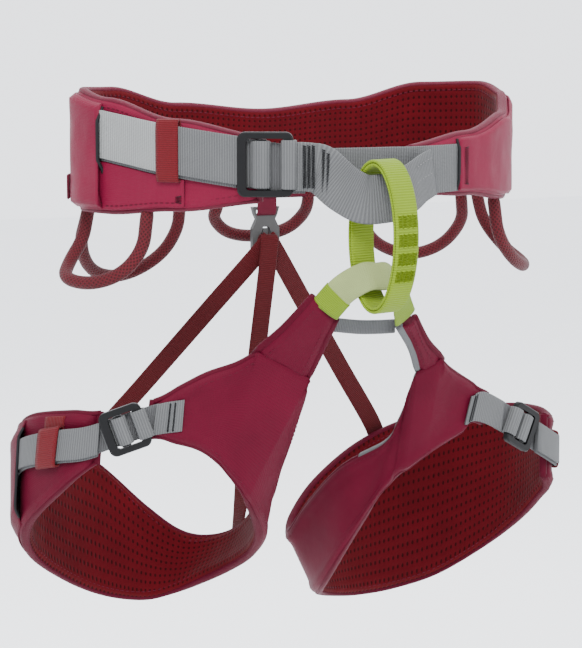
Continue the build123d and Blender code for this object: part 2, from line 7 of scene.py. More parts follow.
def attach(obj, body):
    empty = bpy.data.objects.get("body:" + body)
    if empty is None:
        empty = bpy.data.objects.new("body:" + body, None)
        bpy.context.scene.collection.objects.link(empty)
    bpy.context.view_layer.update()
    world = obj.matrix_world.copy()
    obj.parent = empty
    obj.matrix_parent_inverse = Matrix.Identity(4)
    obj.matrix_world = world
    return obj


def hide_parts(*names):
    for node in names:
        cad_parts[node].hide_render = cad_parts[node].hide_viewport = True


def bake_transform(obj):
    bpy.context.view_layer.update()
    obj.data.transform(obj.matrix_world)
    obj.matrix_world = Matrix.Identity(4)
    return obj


# Sport climbing harness. Sizes are in millimetres here and become metres as each mesh is made.
MM = 0.001
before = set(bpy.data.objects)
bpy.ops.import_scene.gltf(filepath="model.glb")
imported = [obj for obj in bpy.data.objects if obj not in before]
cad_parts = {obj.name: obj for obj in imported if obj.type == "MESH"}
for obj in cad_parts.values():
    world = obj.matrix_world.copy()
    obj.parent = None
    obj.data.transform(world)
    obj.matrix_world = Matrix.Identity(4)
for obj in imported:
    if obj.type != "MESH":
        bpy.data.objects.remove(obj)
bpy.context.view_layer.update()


# ---- sizes shared with the frame
WAIST_WEBBING = 28.0
LEG_WEBBING = 19.0
WEB = 1.4
GAP = 0.4
SHELL_OUT = 3.2
WEB_CLEAR = SHELL_OUT + GAP
KEEPER_BACK = (SHELL_OUT + 0.3, SHELL_OUT + 1.1)
WEB_LIFTED = KEEPER_BACK[1] + 0.4
BUCKLE_AT = -288.0
KEEPER_AT = -233.0
KEEPER_WIDE = 13.0
KEEPER_ROOM = 0.6
SLOT_RIGHT = -186.0
COVER_END_LEFT = 302.0
BELT_END_LEFT = 336.0
BELT_END_RIGHT = -284.0
LEG_BUCKLE_AT = 21.52
LEG_KEEPER_AT = {"right": 19.75, "left": 20.2}
WAIST_PLAN = [(0, 80), (62, 79), (112, 66), (135, 42), (135, 14), (122, -14), (106, -38), (78, -62),
              (42, -79)]
WAIST_FRONT = (0, -86)
WAIST_TOP = [(0, 24), (60, 29), (110, 40), (150, 41), (185, 36), (235, 25), (290, 16), (345, 9)]
WAIST_BOTTOM = [(0, -33), (110, -34), (185, -32), (235, -28), (290, -22), (345, -18)]
RIGHT_LOW = [(-122, -26, -163), (-106, -31, -166), (-92, -33, -171), (-80, -32, -180), (-71, -30, -190),
             (-65, -29, -198), (-61, -27, -204), (-56, -23, -212), (-49, -16, -222), (-42, -6, -234),
             (-38, 8, -245), (-37, 26, -256), (-41, 46, -267), (-50, 65, -278), (-62, 82, -288),
             (-80, 92, -293), (-108, 93, -287), (-138, 83, -271), (-166, 62, -248), (-176, 36, -224),
             (-166, 2, -196), (-150, -14, -178)]
RIGHT_HIGH = [(-119, -28, -139), (-103, -32, -131), (-88, -35, -124), (-72, -42, -118), (-62, -51, -110),
              (-46, -53, -119), (-31, -54, -127), (-32, -46, -140), (-33, -33, -160), (-31, -10, -184),
              (-24, 16, -205), (-20, 40, -224), (-23, 60, -242), (-34, 80, -252), (-52, 92, -250),
              (-74, 99, -233), (-107, 99, -202), (-138, 86, -184), (-167, 62, -166), (-173, 30, -153),
              (-160, 0, -147), (-147, -14, -146)]
LEFT_LOW = [(98, -33, -170), (84, -32, -175), (72, -30, -181), (65, -28.5, -185), (60, -27, -189),
            (56, -25, -193), (52, -22, -197), (48, -19, -201), (45, -17, -205), (39, -12, -214),
            (32, -2, -233), (25, 14, -258), (25, 36, -280), (31, 56, -291), (40, 76, -299),
            (56, 90, -305), (80, 99, -309), (108, 98, -307), (138, 86, -296), (166, 56, -267),
            (172, 20, -237), (160, -8, -214)]
LEFT_HIGH = [(102, -33, -149), (90, -37, -142), (76, -43, -134), (66, -49, -128), (57, -55, -121),
             (51.5, -51, -125), (46, -47, -129), (47.5, -40, -138), (47, -32, -150), (44, -25, -165),
             (40, -18, -178), (24, 10, -197), (15, 40, -225), (11, 62, -248), (22, 82, -243),
             (45, 97, -226), (78, 104, -206), (110, 101, -192), (140, 86, -183), (168, 56, -176),
             (173, 22, -173), (160, -8, -172)]
TAB_STATIONS = (4, 6)
RIGHT_TAB = [((-62, -51, -110), (-31, -54, -127)), ((-52, -65, -96), (-28.5, -66, -110)),
             ((-41, -82, -76), (-27, -82, -90))]
LEFT_TAB = [((57, -55, -121), (46, -47, -129)), ((42, -65, -109), (33, -63, -113)),
            ((29, -74, -93), (17, -77, -97))]
BELAY_CENTRE = Vector((-11.0, -111.0, -40.0))
BELAY_HALF = (21.0, 44.0)
BELAY_TURN = 15.0
TIE_IN = [(-49.5, -85, -1), (-44.5, -86.6, -1.5), (-39, -89.5, -3), (-31, -98, -12.4), (-22.5, -108, -18.5),
          (-11, -112, -18.4), (0, -109.5, -17), (11, -104.5, -13), (21, -98, -9), (31, -92.3, -6)]
TIE_IN_TILT = [(0, 0, 1), (0, 0, 1), (0.04, 0, 1), (0.12, 0.04, 1), (0.1, 0.06, 1), (0.04, 0.06, 1),
               (-0.08, 0.06, 1), (-0.14, 0.04, 1), (-0.1, 0, 1), (0, 0, 1)]
SLEEVE = [(-35, -84.5, -84), (-29.5, -97.5, -71), (-20, -106, -63.4), (-11, -106, -63.4), (-2, -103.6, -65),
          (9, -93.5, -78.5), (20, -79.5, -92)]
SLEEVE_ACROSS = [(-0.6, 0.1, 0.75), (-0.45, 0.3, 0.8), (-0.2, 0.45, 0.85), (-0.05, 0.5, 0.85),
                 (0.1, 0.48, 0.85), (0.6, 0.35, 0.65), (0.9, 0.23, 0.35)]
BRIDGE = [(-23, -71, -95), (-6, -70, -97.5), (8, -68.5, -98.5), (20, -66, -99)]
GEAR = {
    "front_right": [(-134, 40, -35), (-137, 40, -50), (-148, 35, -63), (-157, 20, -71), (-147, 0, -73),
        (-132, -14, -66), (-121, -19, -51), (-119, -19, -34.5)],
    "rear_right": [(-57.4, 80.4, -36), (-57, 85, -52), (-67, 92, -70), (-92, 95, -82), (-117, 83, -76),
        (-131, 64, -56), (-129, 55.4, -38)],
    "haul": [(-31, 81, -37.5), (-31, 90, -46), (-18, 96, -57), (4, 98, -60), (25, 96, -56),
        (34, 90, -46), (33, 81, -37.5)],
    "rear_left": [(72.4, 79, -36.6), (74, 85.6, -51), (88, 93, -68), (112, 91, -77), (130, 77, -70),
        (137, 61, -52), (131.6, 53, -37.8)],
    "front_left": [(134, 36, -35), (138, 35, -50), (147, 24, -66), (150, 4, -74), (137, -18, -74),
        (118, -34, -65), (104, -42, -50), (102, -41, -32.5)],
}


# ---- curves
def level(table, where):
    """Height read smoothly from a list of (distance, height) pairs."""
    if where <= table[0][0]:
        return table[0][1]
    for (a, low), (b, high) in zip(table, table[1:]):
        if where <= b:
            t = (where - a) / (b - a)
            return low + (high - low) * t * t * (3 - 2 * t)
    return table[-1][1]


def through(points, u, corners=()):
    """Smooth closed curve through points at parameter u, with sharp corners at the stations named."""
    count = len(points)
    i = math.floor(u)
    t = u - i
    p0, p1, p2, p3 = [Vector(points[(i + k) % count]) for k in (-1, 0, 1, 2)]
    if i % count in corners:
        p0 = p1 * 2 - p2
    if (i + 1) % count in corners:
        p3 = p2 * 2 - p1
    return (p1 * 2 + (p2 - p0) * t + (p0 * 2 - p1 * 5 + p2 * 4 - p3) * (t * t)
            + (p1 * 3 - p0 - p2 * 3 + p3) * (t * t * t)) * 0.5


def spread(start, end, count):
    return [start + (end - start) * k / count for k in range(count + 1)]


def dense(points, steps):
    last = len(points) - 1
    return [through(points, k / steps, (0, last)) for k in range(last * steps + 1)]


def rounded(points, times=3):
    """Polyline with its corners cut again and again, ends kept."""
    route = [Vector(p) for p in points]
    for _ in range(times):
        cut = [route[0]]
        for a, b in zip(route, route[1:]):
            cut += [a * 0.75 + b * 0.25, a * 0.25 + b * 0.75]
        route = cut + [route[-1]]
    return route


class Belt:
    """The waist belt's middle surface, by signed distance round from the middle of the back."""

    def __init__(self):
        right = [(-x, y) for x, y in reversed(WAIST_PLAN[1:])]
        plan = [(x, y, 0) for x, y in WAIST_PLAN + [WAIST_FRONT] + right]
        steps = 12
        self.fine = [through(plan, k / steps) for k in range(len(plan) * steps + 1)]
        self.reach = [0.0]
        for a, b in zip(self.fine, self.fine[1:]):
            self.reach.append(self.reach[-1] + (b - a).length)

    def plan_at(self, s):
        s = s % self.reach[-1]
        k = next(i for i in range(len(self.fine) - 1) if self.reach[i + 1] >= s)
        t = (s - self.reach[k]) / (self.reach[k + 1] - self.reach[k])
        return self.fine[k].lerp(self.fine[k + 1], t)

    def out(self, s):
        ahead = self.plan_at(s + 3) - self.plan_at(s - 3)
        return Vector((-ahead.y, ahead.x, 0)).normalized()

    def at(self, s, height, offset):
        return self.plan_at(s) + Vector((0, 0, height)) + self.out(s) * offset

    def top(self, s):
        return level(WAIST_TOP, abs(s))

    def bottom(self, s):
        return level(WAIST_BOTTOM, abs(s))


class Leg:
    """A leg loop's middle surface between its lower and upper edges, by station."""

    def __init__(self, low, high, side):
        self.low_points = low
        self.high_points = high
        self.side = side

    def low(self, u):
        return through(self.low_points, u, TAB_STATIONS)

    def high(self, u):
        return through(self.high_points, u, TAB_STATIONS)

    def up(self, u):
        return (self.high(u) - self.low(u)).normalized()

    def out(self, u):
        step = 0.35
        ahead = self.low(u + step) + self.high(u + step) - self.low(u - step) - self.high(u - step)
        return ahead.cross(self.up(u)).normalized() * self.side

    def tall(self, u):
        return (self.high(u) - self.low(u)).length

    def at(self, u, rise, offset):
        """Point rise mm above the lower edge."""
        return self.low(u) + self.up(u) * rise + self.out(u) * offset

    def middle(self, u):
        share = level(((0.0, 0.5), (2.0, 0.5), (16.0, 0.62), (19.0, 0.66), (21.0, 0.5), (22.0, 0.5)), u % 22)
        return self.low(u) + (self.high(u) - self.low(u)) * share

    def track(self, u, across, offset):
        return self.middle(u) + self.up(u) * across + self.out(u) * offset


BELT = Belt()
LEGS = {"right": Leg(RIGHT_LOW, RIGHT_HIGH, 1), "left": Leg(LEFT_LOW, LEFT_HIGH, -1)}


# ---- finishes
class Finish:
    """A material's node graph, built up step by step."""

    def __init__(self, name):
        self.material = bpy.data.materials.new(name)
        self.material.use_nodes = True
        self.tree = self.material.node_tree
        self.tree.nodes.clear()
        out = self.node("ShaderNodeOutputMaterial")
        self.shader = self.node("ShaderNodeBsdfPrincipled")
        self.link(self.shader.outputs[0], out.inputs["Surface"])
        split = self.node("ShaderNodeSeparateXYZ")
        self.link(self.node("ShaderNodeUVMap").outputs[0], split.inputs[0])
        self.along, self.around = split.outputs[:2]
        self.place = self.node("ShaderNodeTexCoord").outputs["Object"]

    def node(self, kind):
        return self.tree.nodes.new(kind)

    def link(self, a, b):
        self.tree.links.new(a, b)

    def math(self, kind, a, b=None):
        n = self.node("ShaderNodeMath")
        n.operation = kind
        for k, value in enumerate((a, b)):
            if value is None:
                continue
            if isinstance(value, (int, float)):
                n.inputs[k].default_value = value
            else:
                self.link(value, n.inputs[k])
        return n.outputs[0]

    def wave(self, coordinate, pitch):
        """Sine from 0 to 1 along a UV coordinate in metres."""
        return self.half(self.times(coordinate, 2 * math.pi / (pitch * MM)))

    def half(self, turned):
        return self.plus(self.times(self.math("SINE", turned), 0.5), 0.5)

    def noise(self, scale, detail=3.0):
        n = self.node("ShaderNodeTexNoise")
        self.link(self.place, n.inputs["Vector"])
        n.inputs["Scale"].default_value = scale
        n.inputs["Detail"].default_value = detail
        return n.outputs["Fac"]

    def mix(self, factor, a, b):
        n = self.node("ShaderNodeMix")
        n.data_type = "RGBA"
        self.link(factor, n.inputs["Factor"])
        for socket, value in ((n.inputs[6], a), (n.inputs[7], b)):
            if isinstance(value, tuple):
                socket.default_value = (*value, 1.0)
            else:
                self.link(value, socket)
        return n.outputs[2]

    def colour(self, value):
        self.link(value, self.shader.inputs["Base Color"])

    def bump(self, height, distance, strength):
        n = self.node("ShaderNodeBump")
        n.inputs["Strength"].default_value = strength
        n.inputs["Distance"].default_value = distance * MM
        self.link(height, n.inputs["Height"])
        self.link(n.outputs[0], self.shader.inputs["Normal"])

    def times(self, a, b):
        return self.math("MULTIPLY", a, b)

    def plus(self, a, b):
        return self.math("ADD", a, b)

    def surface(self, rough, gloss, sheen=0.0, sheen_rough=0.5):
        for name, value in (("Roughness", rough), ("Specular IOR Level", gloss), ("Sheen Weight", sheen),
                            ("Sheen Roughness", sheen_rough)):
            self.shader.inputs[name].default_value = value


def shade(colour, factor):
    return tuple(min(1.0, c * factor) for c in colour)


def fabric(name, colour, rough, sheen, tint, pitch=0.9, gloss=0.13):
    """Fine plain weave with a soft sheen and uneven dye."""
    f = Finish(name)
    u = f.wave(f.along, pitch)
    v = f.wave(f.around, pitch)
    weave = f.times(u, v)
    patches = f.mix(f.noise(45.0), shade(colour, 0.82), shade(colour, 1.18))
    f.colour(f.mix(f.times(weave, 0.35), patches, shade(colour, 0.6)))
    crumple = f.times(f.noise(70.0, 2.0), 5.0)
    f.bump(f.plus(weave, crumple), 0.16, 0.9)
    f.surface(rough, gloss, sheen, 0.45)
    f.shader.inputs["Sheen Tint"].default_value = (*tint, 1.0)
    return f.material


def mesh_fabric(name, colour):
    """Knitted liner with rows of small holes."""
    f = Finish(name)
    u = f.wave(f.along, 3.6)
    v = f.wave(f.around, 3.6)
    dots = f.times(u, v)
    hole = f.math("GREATER_THAN", dots, 0.66)
    patches = f.mix(f.noise(50.0), shade(colour, 0.75), shade(colour, 1.25))
    f.colour(f.mix(hole, patches, shade(colour, 0.28)))
    f.bump(f.math("SUBTRACT", f.times(f.noise(90.0, 2.0), 3.0), dots), 0.35, 0.9)
    f.surface(0.9, 0.05, 0.03)
    return f.material


def webbing(name, light, dark, pitch=1.5):
    """Woven strap: ribs across it and a fine grain along it."""
    f = Finish(name)
    rib = f.wave(f.along, pitch)
    grain = f.wave(f.around, 0.8)
    pattern = f.plus(rib, f.times(grain, 0.45))
    worn = f.mix(f.noise(60.0), shade(light, 0.86), shade(light, 1.1))
    f.colour(f.mix(f.times(f.math("SUBTRACT", 1.0, rib), 0.7), worn, dark))
    f.bump(pattern, 0.32, 0.9)
    f.surface(0.65, 0.12, 0.04, 0.4)
    return f.material


def braid(name, colour, dark, turn):
    """Woven tube: two sets of strands that cross on the slant."""
    f = Finish(name)
    across = f.times(f.around, 2 * math.pi / (turn * MM))
    along = f.times(f.along, 2 * math.pi / (turn * 1.1 * MM))
    one = f.half(f.plus(along, across))
    two = f.half(f.math("SUBTRACT", along, across))
    lattice = f.math("MAXIMUM", one, two)
    worn = f.mix(f.noise(60.0), shade(colour, 0.8), shade(colour, 1.2))
    f.colour(f.mix(f.math("SUBTRACT", 1.0, lattice), worn, dark))
    f.bump(lattice, 0.4, 0.9)
    f.surface(0.62, 0.12, 0.04, 0.4)
    return f.material


def hard(name, colour, rough):
    """Moulded or painted part with fine scuffs."""
    f = Finish(name)
    scuff = f.noise(400.0, 6.0)
    f.colour(f.mix(f.noise(80.0), shade(colour, 0.85), shade(colour, 1.2)))
    f.link(f.plus(f.times(scuff, 0.25), rough - 0.12), f.shader.inputs["Roughness"])
    f.bump(scuff, 0.05, 0.5)
    f.surface(rough, 0.13)
    return f.material


def thread(name, colour):
    f = Finish(name)
    twist = f.wave(f.along, 0.7)
    f.colour(f.mix(f.times(twist, 0.5), shade(colour, 1.15), shade(colour, 0.6)))
    f.bump(f.noise(900.0), 0.05, 0.6)
    f.surface(0.65, 0.1)
    return f.material


RASPBERRY = (0.076, 0.002, 0.0125)
WINE = (0.046, 0.0012, 0.0028)
LEG_TINT = (0.9, 0.2, 0.3)
MAT = {
    "outer": fabric("raspberry_satin", shade(RASPBERRY, 1.3), 0.46, 0.03, (0.9, 0.3, 0.42), 0.9, 0.08),
    # The legs' fabric and binding are copies of the belt's raspberry fabric and binding, made darker as
    # painted shade.
    "leg_outer_painted_shade": fabric("raspberry_satin_painted_shade", shade(RASPBERRY, 0.74), 0.5, 0.015, LEG_TINT, 0.9, 0.05),
    "leg_binding_painted_shade": fabric("raspberry_binding_painted_shade", shade(RASPBERRY, 0.6), 0.55, 0.015, LEG_TINT, 0.7, 0.05),
    "binding": fabric("raspberry_binding", shade(RASPBERRY, 0.8), 0.55, 0.04, (0.9, 0.25, 0.35), 0.7),
    "liner": mesh_fabric("wine_mesh", WINE),
    "grey": webbing("grey_webbing", (0.088, 0.09, 0.091), (0.046, 0.047, 0.049)),
    "pale": webbing("pale_grey_webbing", (0.2, 0.205, 0.2), (0.115, 0.118, 0.12)),
    # Darker copy of the grey webbing, used only on layers lying under the tails and buckles: painted shade.
    "mid": webbing("shaded_grey_webbing", (0.068, 0.069, 0.071), (0.036, 0.0365, 0.038)),
    "lining": webbing("grey_lining", (0.1, 0.103, 0.106), (0.06, 0.06, 0.063), 1.1),
    "lime": webbing("lime_webbing", (0.125, 0.195, 0.0045), (0.09, 0.13, 0.0025), 1.5),
    "lime_flat": webbing("lime_band", (0.12, 0.19, 0.005), (0.075, 0.12, 0.003), 1.2),
    "sleeve": fabric("pale_green_sleeve", (0.165, 0.2, 0.075), 0.6, 0.05, (0.7, 0.8, 0.5), 1.0),
    "elastic": webbing("red_elastic", (0.085, 0.0022, 0.005), (0.05, 0.0013, 0.003), 1.2),
    "riser": webbing("dark_red_elastic", (0.055, 0.0012, 0.0028), (0.026, 0.0006, 0.0013), 1.2),
    "cord": braid("red_braid", (0.058, 0.0035, 0.0065), (0.012, 0.0008, 0.0015), 2.6),
    "metal": hard("black_buckle", (0.003, 0.0031, 0.0034), 0.4),
    "plastic": hard("grey_plastic", (0.045, 0.0445, 0.0445), 0.42),
    "dark": thread("dark_thread", (0.007, 0.0072, 0.008)),
    "pink": thread("rose_thread", (0.05, 0.002, 0.009)),
    "light": thread("light_thread", (0.13, 0.13, 0.13)),
    "green": thread("green_thread", (0.14, 0.21, 0.008)),
}
SLOT = {"liner": "mesh_liner", "lime": "lime_webbing", "lime_flat": "lime_webbing", "green": "lime_webbing",
        "sleeve": "pale_sleeve", "cord": "gear_loop_cord"}
for slot, looks in (("outer_fabric", ("outer", "leg_outer_painted_shade")), ("edge_binding", ("binding", "leg_binding_painted_shade")),
                    ("grey_webbing", ("grey", "pale", "mid", "lining")),
                    ("red_elastic", ("elastic", "riser")), ("dark_stitching", ("dark", "pink", "light"))):
    SLOT.update({look: slot for look in looks})
INNER_EDGE = {"right": "leg_binding_painted_shade", "left": "lining"}


# ---- mesh makers
def piece(name, verts, faces, uvs, material, body, stands_for=(), slot=None):
    """A finished smooth mesh riding on a body and standing for CAD nodes."""
    mesh = bpy.data.meshes.new(name)
    mesh.from_pydata([tuple(Vector(v) * MM) for v in verts], [], faces)
    layer = mesh.uv_layers.new(name="UVMap")
    for face_uv, polygon in zip(uvs, mesh.polygons):
        for (along, around), loop in zip(face_uv, polygon.loop_indices):
            layer.data[loop].uv = (along * MM, around * MM)
    mesh.validate()
    work = bmesh.new()
    work.from_mesh(mesh)
    bmesh.ops.recalc_face_normals(work, faces=work.faces)
    work.to_mesh(mesh)
    work.free()
    for polygon in mesh.polygons:
        polygon.use_smooth = True
    mesh.materials.append(MAT[material])
    obj = bpy.data.objects.new(name, mesh)
    bpy.context.scene.collection.objects.link(obj)
    if body:
        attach(obj, body)
    slot or SLOT[material]
    if stands_for:
        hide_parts(*stands_for)
    return obj


def loft(sections, wrap=False, start=0):
    """Verts, faces and UVs (mm) of a skin through closed sections of equal count."""
    rows = len(sections)
    count = len(sections[0])
    verts = [p for section in sections for p in section]
    along = [0.0]
    for a, b in zip(sections, sections[1:] + ([sections[0]] if wrap else [])):
        along.append(along[-1] + sum((q - p).length for p, q in zip(a, b)) / count)
    middle = sections[rows // 2]
    around = [0.0]
    for k in range(count):
        around.append(around[-1] + (middle[(k + 1) % count] - middle[k]).length)
    faces = []
    uvs = []
    for i in range(rows if wrap else rows - 1):
        here = start + i * count
        there = start + (i + 1) % rows * count
        for k in range(count):
            m = (k + 1) % count
            faces.append([here + k, here + m, there + m, there + k])
            uvs.append([(along[i], around[k]), (along[i], around[k + 1]),
                        (along[i + 1], around[k + 1]), (along[i + 1], around[k])])
    if not wrap:
        for i in (0, rows - 1):
            faces.append([start + i * count + k for k in range(count)])
            uvs.append([(along[i], around[k]) for k in range(count)])
    return verts, faces, uvs


def lofted_many(name, groups, material, body, stands_for=(), wrap=False, slot=None):
    verts, faces, uvs = [], [], []
    for sections in groups:
        v, f, t = loft(sections, wrap, len(verts))
        verts += v
        faces += f
        uvs += t
    return piece(name, verts, faces, uvs, material, body, stands_for, slot)


def lofted(name, sections, material, body, stands_for=(), wrap=False, slot=None):
    return lofted_many(name, [sections], material, body, stands_for, wrap, slot)


def circle(count):
    return [2 * math.pi * k / count for k in range(count)]


def squarish(wave, power):
    """A sine or cosine pushed out towards a square's side."""
    return math.copysign(abs(wave) ** power, wave)


def heading(points, k, closed=False):
    """Direction of a path at its point k, from the point before to the one after."""
    if closed:
        return points[(k + 1) % len(points)] - points[k - 1]
    return points[min(k + 1, len(points) - 1)] - points[max(k - 1, 0)]


def band_outline(wide, thick):
    """Flat section with round edges as (across, out) pairs, starting at the lower outer edge."""
    half, deep = wide / 2, thick / 2
    run = [(wide - thick) * k / 8 for k in range(9)]
    pairs = [(-half + deep + x, deep) for x in run]
    for side, back in ((1, [(half - deep - x, -deep) for x in run]), (-1, [])):
        for k in range(1, 4):
            a = side * math.pi / 2 - math.pi * k / 4
            pairs.append((side * (half - deep) + deep * math.cos(a), deep * math.sin(a)))
        pairs += back
    return pairs


def strap_sections(centres, acrosses, wide, thick, closed=False):
    """Flat band along centres; acrosses is one direction, or one for each centre."""
    middle = [Vector(p) for p in centres]
    if isinstance(acrosses, Vector):
        acrosses = [acrosses] * len(middle)
    sections = []
    for k, p in enumerate(middle):
        ahead = heading(middle, k, closed)
        out = Vector(acrosses[k]).cross(ahead).normalized()
        side = ahead.cross(out).normalized()
        sections.append([p + side * a + out * o for a, o in band_outline(wide, thick)])
    return sections


def surface_sections(stations, low, high, inner, outer, at):
    """Flat band on a surface: at(station, height, offset)."""
    sections = []
    for s in stations:
        height = (high(s) + low(s)) / 2
        offset = (outer(s) + inner(s)) / 2
        outline = band_outline(high(s) - low(s), outer(s) - inner(s))
        sections.append([at(s, height + a, offset + o) for a, o in outline])
    return sections


def tube_sections(route, radius, count=12):
    sections = []
    side = None
    for k, p in enumerate(route):
        ahead = heading(route, k).normalized()
        if side is None:
            side = ahead.orthogonal().normalized()
        side = (side - ahead * side.dot(ahead)).normalized()
        up = ahead.cross(side)
        sections.append([p + side * (radius * math.cos(a)) + up * (radius * math.sin(a))
                         for a in circle(count)])
    return sections


def edge_ring(at, where, height, half_tall=1.9, half_thick=2.7):
    """Oval section of a rolled edge on a surface."""
    return [at(where, height + half_tall * math.sin(a), half_thick * math.cos(a)) for a in circle(14)]


STITCH_TAPER = (0.3, 0.85, 1.0, 0.85, 0.3)


def stitches(name, runs, material, body, long=2.4, thick=0.32, space=3.6):
    """Rows of stitches laid along paths of points."""
    groups = []
    for route in runs:
        lengths = [0.0]
        for a, b in zip(route, route[1:]):
            lengths.append(lengths[-1] + (b - a).length)
        total = lengths[-1]
        count = max(1, int(total / space))
        step = total / count
        k = 0
        for n in range(count):
            ends = []
            for d in (n * step + (step - long) / 2, n * step + (step + long) / 2):
                d = min(max(d, 0.0), total)
                while k < len(lengths) - 2 and lengths[k + 1] < d:
                    k += 1
                t = (d - lengths[k]) / max(lengths[k + 1] - lengths[k], 1e-6)
                ends.append(route[k].lerp(route[k + 1], min(max(t, 0.0), 1.0)))
            a, b = ends
            if (b - a).length < 0.2:
                continue
            ahead = (b - a).normalized()
            side = ahead.orthogonal().normalized()
            up = ahead.cross(side)
            path = [a, a + ahead * 0.25, (a + b) / 2, b - ahead * 0.25, b]
            groups.append([[p + (side * math.cos(c) + up * math.sin(c)) * thick * r for c in circle(6)]
                           for p, r in zip(path, STITCH_TAPER)])
            k = max(0, k - 1)
    return lofted_many(name, groups, material, body)


def zigzag(at, reach, along_from, along_to, turns):
    """Bar-tack thread: close zigzag, reach mm to each side; at(along, across) gives a point."""
    route = []
    for k in range(turns * 2 + 1):
        along = along_from + (along_to - along_from) * k / (turns * 2)
        route.append(at(along, reach if k % 2 else -reach))
    return route


def threads(name, routes, material, body, radius=0.35, stands_for=()):
    return lofted_many(name, [tube_sections(r, radius, 6) for r in routes], material, body, stands_for)


def ease(t):
    t = min(max(t, 0.0), 1.0)
    return t * t * (3 - 2 * t)


def lumps(p, size, scale):
    return noise.noise(Vector(p) / size) * scale


PAD_RIM = 1.6
PAD_RISE = 1.7
PAD_BACK = 0.15
PAD_MARGIN = 0.6
END_PIPE_RADIUS = 2.4


def pad_outline(tall, ends, puff, wobble, columns=22, joined=0.0):
    """Half a pad from its lower to its upper edge as (height, offset), outer face then flat back."""
    span = tall - 2 * PAD_MARGIN
    pairs = []
    for k in range(columns + 1):
        h = PAD_MARGIN + span * k / columns
        near = min(h, tall - h + 12.0 * joined)
        crown = puff * ends * ease(near / 4.0) * (1 - ease((near - 6.0) / 6.0))
        pairs.append((h, PAD_RIM + PAD_RISE * ends * ease(near / 5.0) + crown + wobble(h)))
    return pairs + [(tall - PAD_MARGIN - span * k / 4, PAD_BACK) for k in range(5)]


def flat(value):
    return lambda where: value


# ---- waist belt
PIPE_IN = 1.5
STITCH_IN = 5.4
COVER_EDGE = 3
COVER_START = 70
COVER_IN = WEB_CLEAR + WEB + GAP
DOUBLED = COVER_IN + WEB + GAP + 0.6
UPWARD = Vector((0, 0, 1))


def belt_piece(name, start, end, low, high, inner, outer, count, material, stands_for=()):
    sections = surface_sections(spread(start, end, count), low, high, inner, outer, BELT.at)
    return lofted(name, sections, material, "waist_belt", stands_for)


def belt_strap(name, start, end, height, half, inner, count, material, nodes=(), thick=WEB):
    """Webbing of one width along the belt."""
    belt_piece(name, start, end, lambda s: height(s) - half, lambda s: height(s) + half, inner,
               lambda s: inner(s) + thick, count, material, nodes)


def belt_row(edge, rise, off, start, end, count):
    return [BELT.at(s, edge(s) + rise, off) for s in spread(start, end, count)]


def waist_pads():
    for name, sign, material, nodes, puff in (
            ("belt_outer_pad", 1, "outer", ("waist_shell", "waist_foam"), 0.9),
            ("belt_liner_pad", -1, "liner", ("waist_liner",), 0.7)):
        sections = []
        for s in spread(BELT_END_RIGHT + 0.5, BELT_END_LEFT - 0.5, 210):
            ends = ease(min(s - BELT_END_RIGHT, BELT_END_LEFT - s) / 5.0)
            pairs = pad_outline(BELT.top(s) - BELT.bottom(s), ends, puff,
                                lambda h: lumps((s, h, sign * 40), 17.0, 0.35))
            sections.append([BELT.at(s, BELT.bottom(s) + h, sign * o) for h, o in pairs])
        lofted(name, sections, material, "waist_belt", nodes)
    for side, edge, sign in (("top", BELT.top, -1), ("bottom", BELT.bottom, 1)):
        stations = spread(BELT_END_RIGHT, BELT_END_LEFT, 210)
        rings = [edge_ring(BELT.at, s, edge(s) + sign * PIPE_IN) for s in stations]
        lofted("belt_" + side + "_piping", rings, "binding", "waist_belt", ("waist_" + side + "_binding",))
    rows = []
    for edge, rise in ((BELT.top, -STITCH_IN), (BELT.bottom, STITCH_IN)):
        for side in (1, -1):
            rows.append(belt_row(edge, rise, side * (SHELL_OUT + 0.85), -280, 332, 240))
    stitches("belt_edge_stitches", rows, "pink", "waist_belt")
    ends = []
    for s in (BELT_END_RIGHT, BELT_END_LEFT):
        route = [BELT.at(s, h, 0) for h in spread(BELT.bottom(s) + 0.5, BELT.top(s) - 0.5, 8)]
        ends.append(tube_sections(route, END_PIPE_RADIUS, 10))
    lofted_many("belt_end_piping", ends, "binding", "waist_belt")


def webbing_height(s):
    return -1.5 + 16.5 * min(max((s + 300.0) / 114.0, 0.0), 1.0)


def left_webbing_height(s):
    return level(((150.0, 0.0), (230.0, -4.0), (330.0, -5.0)), s)


def lift(s):
    return level(((-225.0, WEB_LIFTED), (-200.0, WEB_CLEAR)), s)


def tail_lift(s):
    return lift(s) + WEB + GAP


def rear_lift(s):
    return level(((BELT_END_LEFT, WEB_CLEAR), (352.0, 0.0), (372.0, 0.0), (400.0, 2.0)), s)


def cover_lift(s):
    """How far the right cover's inner face stands off where two layers of webbing run beneath."""
    return level(((-160.0, DOUBLED), (-120.0, COVER_IN)), s)


def cover_ring(at, where, low, tall, steps, raised, thick):
    """One section of a cover; raised(h) is its inner face's offset h mm above its lower edge."""
    face = [(low + h, raised(h)) for h in spread(0, tall, steps)]
    return ([at(where, h, o + thick) for h, o in face] + [at(where, h, o) for h, o in face[::4]][::-1])


def cover_sections(start, end, raised, count, roll):
    """Cover whose edges are pressed down to the belt above and below the webbing."""
    pressed = SHELL_OUT + 0.3
    sections = []
    for s in spread(start, end, count):
        low = BELT.bottom(s) + COVER_EDGE
        tall = BELT.top(s) - COVER_EDGE - low

        def inner(h):
            press = ease((min(h, tall - h) + 0.8) / roll)
            return pressed + (raised(s) - pressed) * press + lumps((s * 1.3, h, 90), 15.0, 0.5) * press

        sections.append(cover_ring(BELT.at, s, low, tall, 24, inner, 1.0))
    return sections


def lip(s, low, high, raised, slope, count, radius):
    """Near-black tube along a cover's end, standing as painted shadow of the slot under its edge."""
    foot = SHELL_OUT + 1
    return tube_sections([BELT.at(s, h, foot + (raised - foot) * ease(min(h - low, high - h) / slope))
                          for h in spread(low, high, count)], radius, 8)


